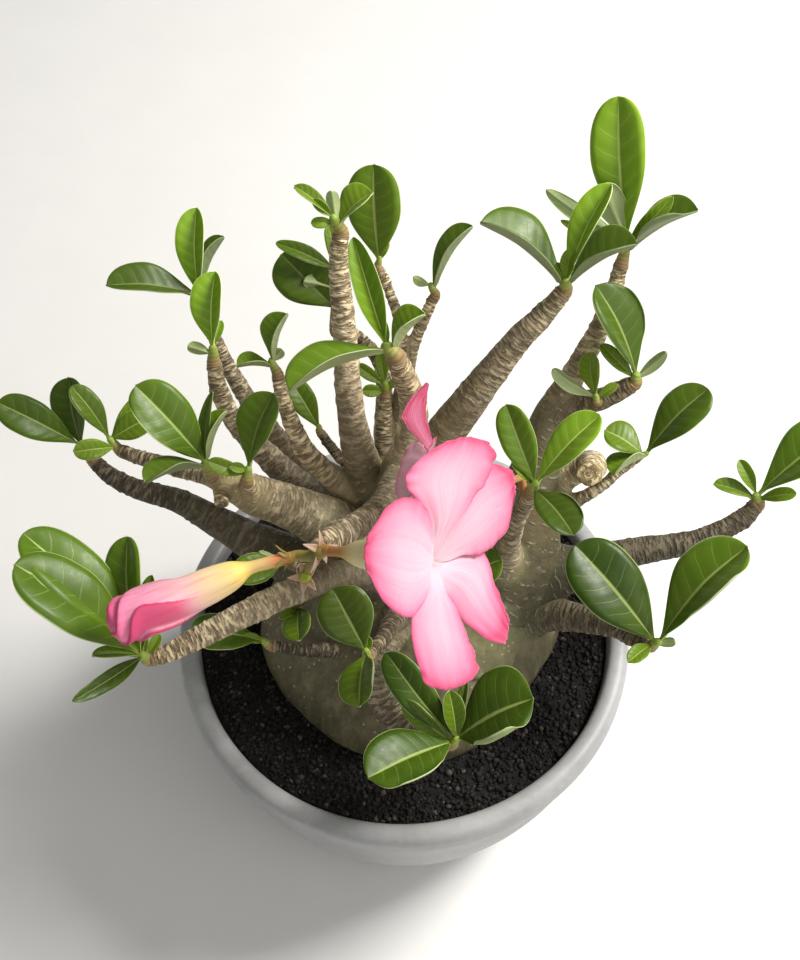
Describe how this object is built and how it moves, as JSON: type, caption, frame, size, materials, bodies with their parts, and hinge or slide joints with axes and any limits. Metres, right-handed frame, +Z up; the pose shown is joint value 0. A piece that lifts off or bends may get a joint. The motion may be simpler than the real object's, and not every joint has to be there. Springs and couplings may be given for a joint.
{
  "type": "potted desert rose",
  "caption": "Small potted succulent tree with a swollen caudex, ringed branches that end in leaf tufts, open pink flowers and a bud, in a round bowl pot with a rounded lip.",
  "frame": {"origin": "middle of the pot's flat underside", "axes": "+Z up; -Y is the front, the side that the picture shows; +X to the right seen from the front"},
  "size_m": [0.3117, 0.2013, 0.2792],
  "materials": {
    "pot": "matt, light grey, faintly mottled",
    "soil": "rough, dark brown granules",
    "bark": "dull olive grey with pale scars and specks",
    "leaf": "glossy green with a pale midrib",
    "petal": "soft satin, pale pink to deep pink at the edge",
    "flower_tube": "satin, cream to orange",
    "stalk": "satin, green to salmon"
  },
  "bodies": {
    "root": {"pot": "pot", "soil": "soil", "caudex_and_branches": "bark", "leaves_left_back": "leaf", "leaves_left_behind": "leaf", "leaves_curved": "leaf", "leaves_upright": "leaf", "leaves_back_tall": "leaf", "leaves_behind_upright": "leaf", "leaves_back_twig": "leaf", "leaves_centre": "leaf", "leaves_small": "leaf", "leaves_dark_twig": "leaf", "leaves_back_right": "leaf", "leaves_far_right": "leaf", "leaves_right_mid": "leaf", "leaves_mid_shoot": "leaf", "leaves_front_right": "leaf", "leaves_right_twig": "leaf", "leaves_long_right": "leaf", "leaves_low_right": "leaf", "leaves_left_trunk": "leaf", "leaves_left_knob": "leaf", "leaves_left_thin": "leaf", "leaves_left_low": "leaf", "leaves_front_left": "leaf", "leaves_low_left": "leaf", "leaves_under_left": "leaf", "leaves_behind_bud": "leaf", "leaves_front_mid": "leaf", "leaves_front_drop": "leaf", "front_bloom_petals": "petal", "front_bloom_tube": "flower_tube", "back_bloom_petals": "petal", "back_bloom_tube": "flower_tube", "bud_tube": "flower_tube", "bud_tip": "petal", "flower_stalk": "stalk"}
  },
  "joints": []
}
